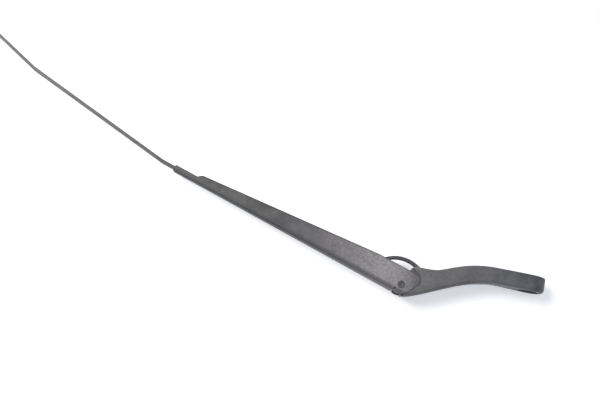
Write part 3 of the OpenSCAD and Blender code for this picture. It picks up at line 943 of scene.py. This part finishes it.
@dataclass
class SpringLine:
    """Hooked tension link from the head's cross pin, and the coil spring that pulls it."""

    reach_mm: float = 48.0
    hole_edge_mm: float = 3.9
    link_t_mm: float = 3.0
    link_w_mm: float = 7.0
    corner_mm: float = 0.4
    arc_r_mm: float = 29.3
    arc_low_mm: float = 23.8
    arc_lead_mm: float = 2.0
    throat_r_mm: float = 6.0
    tab_bend_r_mm: float = 5.0
    eye_r_mm: float = 3.55
    eye_wrap_deg: float = 205.0
    hole_r_mm: float = 1.6
    wire_mm: float = 1.8
    coil_r_mm: float = 3.6
    turns: int = 40
    lead_mm: float = 4.0
    lead_in_deg: float = 45.0
    hook_from_deg: float = 35.0
    hook_to_deg: float = 270.0
    hook_steps: int = 32
    coil_steps: int = 24
    wire_sides: int = 10

    def ends(self, hinge: HingeFrame, joints: list[dict]) -> tuple[np.ndarray, np.ndarray, np.ndarray]:
        """Finds the ends of the link and of the spring. The link's hole lies on the line of pull.

        Args:
            hinge: Side-view frame.
            joints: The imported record's joints.

        Returns:
            Side-view places of the link's pin, the link's hole and the rod's hole.
        """
        place = {j["name"]: hinge.side(j["pos_m"]) for j in joints}
        pin, anchor = place["link_swing"], place["spring_swing"]
        pull = (anchor - pin) / np.linalg.norm(anchor - pin)
        return pin, pin + self.reach_mm * MM * pull, anchor

    def link_steps(
        self, pin: np.ndarray, hole: np.ndarray, pull_angle: float
    ) -> list[tuple[float, ...]]:
        """Works out the link's centre line: tab, one long arc round the hinge, throat and eye.

        The long arc touches the tab's bend and the throat's, so each bend's centre lies on a circle
        about the arc's centre, with the sum or the difference of the two radii.

        Args:
            pin: Place of the link's pin.
            hole: Place of the link's hole.
            pull_angle: Direction of the pull, anticlockwise from +u.

        Returns:
            Steps for bent_line, in metres and radians.
        """
        pull = np.array([math.cos(pull_angle), math.sin(pull_angle)])
        side = np.array([pull[1], -pull[0]])
        arc, tab, throat, eye = (
            r * MM for r in (self.arc_r_mm, self.tab_bend_r_mm, self.throat_r_mm, self.eye_r_mm)
        )
        centre = np.array([self.arc_lead_mm, self.arc_r_mm - self.arc_low_mm]) * MM
        offset = hole + tab * side - centre
        b = float(offset @ pull)
        shift = math.sqrt(b * b - float(offset @ offset) + (arc + tab) ** 2) - b
        bend = offset + shift * pull
        arc_start = math.atan2(bend[1], bend[0])
        arc_stop = -math.acos((pin[0] - eye + throat - centre[0]) / (arc - throat))
        throat_n = centre[1] + (arc - throat) * math.sin(arc_stop)
        return [
            (self.hole_edge_mm * MM - shift,),
            (tab, arc_start + math.pi / 2 - pull_angle),
            (arc, arc_stop - arc_start),
            (throat, -math.pi - arc_stop),
            (float(pin[1]) - throat_n,),
            (eye, -math.radians(self.eye_wrap_deg)),
        ]

    def build_link(self, hinge: HingeFrame, joints: list[dict]) -> None:
        """Builds the hooked strip, with the spring's hole in its tab.

        Args:
            hinge: Side-view frame.
            joints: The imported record's joints.
        """
        pin, hole, anchor = self.ends(hinge, joints)
        pull_angle = math.atan2(*(anchor - pin)[::-1])
        pull = np.array([math.cos(pull_angle), math.sin(pull_angle)])
        start = hole + self.hole_edge_mm * MM * pull
        line, headings = bent_line(self.link_steps(pin, hole, pull_angle), start, math.pi + pull_angle)
        section = rounded_bar(self.link_w_mm * MM, self.link_t_mm * MM, self.corner_mm * MM)
        strip = tube_mesh("tension_link_strip", carried_bar(hinge, line, headings, section))
        lean = hinge.droop - pull_angle
        centre = hinge.row(hole[0], hole[1], np.array(0.0))
        bored(strip, centre, Vector((math.sin(lean), 0, math.cos(lean))), self.hole_r_mm * MM)
        fit_out(strip, Body.LINK, LINK_STEEL.build(), "tension_link")

    def coil_path(self, length: float) -> np.ndarray:
        """Works out the centre line of the spring's wire, with x along the spring from its first hook.

        Hook: (r + r cos a, 0, r sin a) up to 270 degrees. Coils: x = r + lead * (1 - exp(-a / lead_in))
        + pitch * a / 360, with (y, z) = r * (sin a, -cos a) and all angles in degrees. The second half
        is the first one turned end for end.

        Args:
            length: Distance between the hooks' places.

        Returns:
            Points (k, 3).
        """
        r, lead = self.coil_r_mm * MM, self.lead_mm * MM
        half_turns = self.turns / 2
        pitch = (length / 2 - r - lead) / half_turns
        a = np.linspace(self.hook_from_deg, self.hook_to_deg, self.hook_steps, endpoint=False)
        a = np.radians(a)
        hook = np.stack([r * (1 + np.cos(a)), np.zeros_like(a), r * np.sin(a)], 1)
        a = np.linspace(0, 360 * half_turns, int(half_turns * self.coil_steps) + 1)
        t = np.radians(a)
        x = r + lead * (1 - np.exp(-a / self.lead_in_deg)) + pitch * a / 360
        coil = np.stack([x, r * np.sin(t), -r * np.cos(t)], 1)
        half = np.concatenate([hook, coil])
        other_half = np.array([length, 0, 0]) + half[-2::-1] * np.array([-1, -1, 1])
        return np.concatenate([half, other_half])

    def build_spring(self, hinge: HingeFrame, joints: list[dict]) -> None:
        """Builds the close-wound spring from the link's hole to the rod's.

        Args:
            hinge: Side-view frame.
            joints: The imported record's joints.
        """
        pin, hole, anchor = self.ends(hinge, joints)
        pull = (anchor - pin) / np.linalg.norm(anchor - pin)
        local = self.coil_path(float(np.linalg.norm(anchor - hole)))
        side = hole + local[:, :1] * pull + local[:, 2:] * np.array([-pull[1], pull[0]])
        path = hinge.row(side[:, 0], side[:, 1], local[:, 1])
        wire = tube_mesh("spring_coil", carried_wire(path, self.wire_mm * MM / 2, self.wire_sides))
        fit_out(wire, Body.SPRING, SPRING_STEEL.build(), "tension_spring")


# Table, light and camera


def straight_rays(tree: Tree) -> Socket:
    """Picks out the rays that show the background white. All others carry only the plain light.

    Args:
        tree: The node tree.

    Returns:
        1 for camera, glossy and transmission rays, and 0 for all others.
    """
    rays = add_node(tree, "LightPath").outputs
    direct = {0: rays["Is Camera Ray"], 1: rays["Is Glossy Ray"]}
    direct = add_node(tree, "Math", direct, operation="MAXIMUM").outputs[0]
    both = {0: direct, 1: rays["Is Transmission Ray"]}
    return add_node(tree, "Math", both, operation="MAXIMUM").outputs[0]


@dataclass(frozen=True)
class Table:
    """White table top that the arm lies on, as an upright plane on the arm's +Y side.

    Seen from behind it lets the view through. From the front its glow lifts it to white, and only the
    arm's own shadow shows on it. Beyond an oval round the arm it is plain white. The oval gives the
    fade's half sizes along X and Z, and oval_edge the shares of them that the fade runs between.
    """

    half_size: float = 1.2
    gap: float = 0.0002
    paper: str = "ffffff"
    glow: float = 0.46
    glow_colour: str = "f8faff"
    oval: tuple[float, float] = (0.40, 0.26)
    oval_edge: tuple[float, float] = (0.85, 1.15)

    def build(self, y: float, middle: Vector) -> None:
        """Builds the plane, facing -Y.

        Args:
            y: Where it lies across the arm.
            middle: The arm's middle.
        """
        mesh = bpy.data.meshes.new("table")
        s = self.half_size
        corners = [(-s, -s), (s, -s), (s, s), (-s, s)]
        mesh.from_pydata([(middle.x + i, y, middle.z + k) for i, k in corners], [], [(0, 1, 2, 3)])
        table = bpy.data.objects.new("table", mesh)
        bpy.context.scene.collection.objects.link(table)
        material, tree = new_tree("white_table_top")
        seen = straight_rays(tree)
        lit = add_node(tree, "BsdfDiffuse", {"Color": linear(self.paper)}).outputs[0]
        glow = add_node(tree, "Math", {0: seen, 1: self.glow}, operation="MULTIPLY").outputs[0]
        lift = {"Color": linear(self.glow_colour), "Strength": glow}
        lift = add_node(tree, "Emission", lift).outputs[0]
        near = add_node(tree, "AddShader", {0: lit, 1: lift}).outputs[0]
        white = add_node(tree, "Emission", {"Color": WHITE, "Strength": 1.0}).outputs[0]
        place = add_node(tree, "TexCoord").outputs["Object"]
        scale = (1 / self.oval[0], 0.0, 1 / self.oval[1])
        offset = (-middle.x * scale[0], 0.0, -middle.z * scale[2])
        oval = {0: place, 1: scale, 2: offset}
        oval = add_node(tree, "VectorMath", oval, operation="MULTIPLY_ADD").outputs[0]
        away = add_node(tree, "VectorMath", {0: oval}, operation="LENGTH").outputs["Value"]
        beyond = {"Value": away, **spans(self.oval_edge, (0.0, 1.0))}
        beyond = add_node(tree, "MapRange", beyond).outputs["Result"]
        far = add_node(tree, "Math", {0: beyond, 1: seen}, operation="MULTIPLY").outputs[0]
        face = add_node(tree, "MixShader", {0: far, 1: near, 2: white}).outputs[0]
        behind = add_node(tree, "NewGeometry").outputs["Backfacing"]
        through = add_node(tree, "BsdfTransparent").outputs[0]
        both = add_node(tree, "MixShader", {0: behind, 1: face, 2: through}).outputs[0]
        add_node(tree, "OutputMaterial", {"Surface": both})
        mesh.materials.append(material)
        table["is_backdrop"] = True


@dataclass(frozen=True)
class Softbox:
    """Square area lamp that faces the arm's middle."""

    name: str
    place: tuple[float, float, float]
    size: float
    watts: float
    colour: str

    def build(self, target: Vector) -> None:
        """Hangs the lamp and turns it to its target.

        Args:
            target: Point that it faces, which its place is counted from.
        """
        lamp = bpy.data.lights.new(self.name, "AREA")
        lamp.shape, lamp.size, lamp.energy = "SQUARE", self.size, self.watts
        lamp.color = linear(self.colour)[:3]
        holder = bpy.data.objects.new(self.name, lamp)
        holder.location = target + Vector(self.place)
        holder.rotation_mode = "QUATERNION"
        holder.rotation_quaternion = (-Vector(self.place)).to_track_quat("-Z", "Y")
        bpy.context.scene.collection.objects.link(holder)


@dataclass(frozen=True)
class Studio:
    """Plain soft light: an even pale surround and one large softbox.

    The softbox hangs on the camera's side of the arm, out toward the tip.
    """

    surround: str = "e4e9f3"
    surround_strength: float = 0.42
    key: Softbox = Softbox("key_softbox", (0.95, -1.35, -0.4), 0.8, 22.5, "fffcf8")

    def build(self, target: Vector) -> None:
        """Builds the world and the lamp.

        Args:
            target: Point that the lamp faces.
        """
        world = bpy.data.worlds.new("studio")
        bpy.context.scene.world = world
        world.use_nodes = True
        tree = world.node_tree
        tree.nodes.clear()
        seen = straight_rays(tree)
        light = {"Color": linear(self.surround), "Strength": self.surround_strength}
        light = add_node(tree, "Background", light).outputs[0]
        white = add_node(tree, "Background", {"Color": WHITE, "Strength": 1.0}).outputs[0]
        both = add_node(tree, "MixShader", {0: seen, 1: light, 2: white}).outputs[0]
        add_node(tree, "OutputWorld", {"Surface": both})
        self.key.build(target)


@dataclass(frozen=True)
class PhotoCamera:
    """Camera at the photograph's own place, worked out from the arm's known sizes in the picture."""

    place_mm: tuple[float, float, float] = (195.61, -649.79, 91.58)
    toward: tuple[float, float, float] = (0.04195, 0.98163, -0.18614)
    right: tuple[float, float, float] = (-0.9755, 0.0, -0.2198)
    focal_px: float = 700.0
    picture_px: int = 600
    sensor_mm: float = 36.0
    clip: tuple[float, float] = (0.01, 20.0)

    def build(self) -> None:
        """Makes the scene's camera."""
        data = bpy.data.cameras.new("photo_camera")
        data.sensor_width = self.sensor_mm
        data.lens = self.focal_px / self.picture_px * data.sensor_width
        data.clip_start, data.clip_end = self.clip
        holder = bpy.data.objects.new("photo_camera", data)
        back = -Vector(self.toward).normalized()
        across = Vector(self.right)
        across = (across - across.dot(back) * back).normalized()
        up = back.cross(across)
        turn = Matrix((across, up, back)).transposed()
        holder.matrix_world = Matrix.Translation(Vector(self.place_mm) * MM) @ turn.to_4x4()
        bpy.context.scene.collection.objects.link(holder)
        bpy.context.scene.camera = holder


def main() -> None:
    """Builds the camera, the arm's pieces, the table and the light."""
    logging.basicConfig(level=logging.INFO, format="%(name)s: %(message)s")
    cad_box = [list(corner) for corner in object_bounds()]
    bpy.context.scene.view_settings.view_transform = "Standard"
    PhotoCamera().build()
    joints = frame["joints"]
    hinge = HingeFrame.from_joints(joints)
    Head().build()
    Channel().build(hinge)
    Rod().build(hinge)
    springs = SpringLine()
    springs.build_link(hinge, joints)
    springs.build_spring(hinge, joints)
    low, high = Vector(cad_box[0]), Vector(cad_box[1])
    table = Table()
    middle = (low + high) / 2
    table.build(high.y + table.gap, middle)
    Studio().build(middle)


if __name__ == "__main__":
    main()
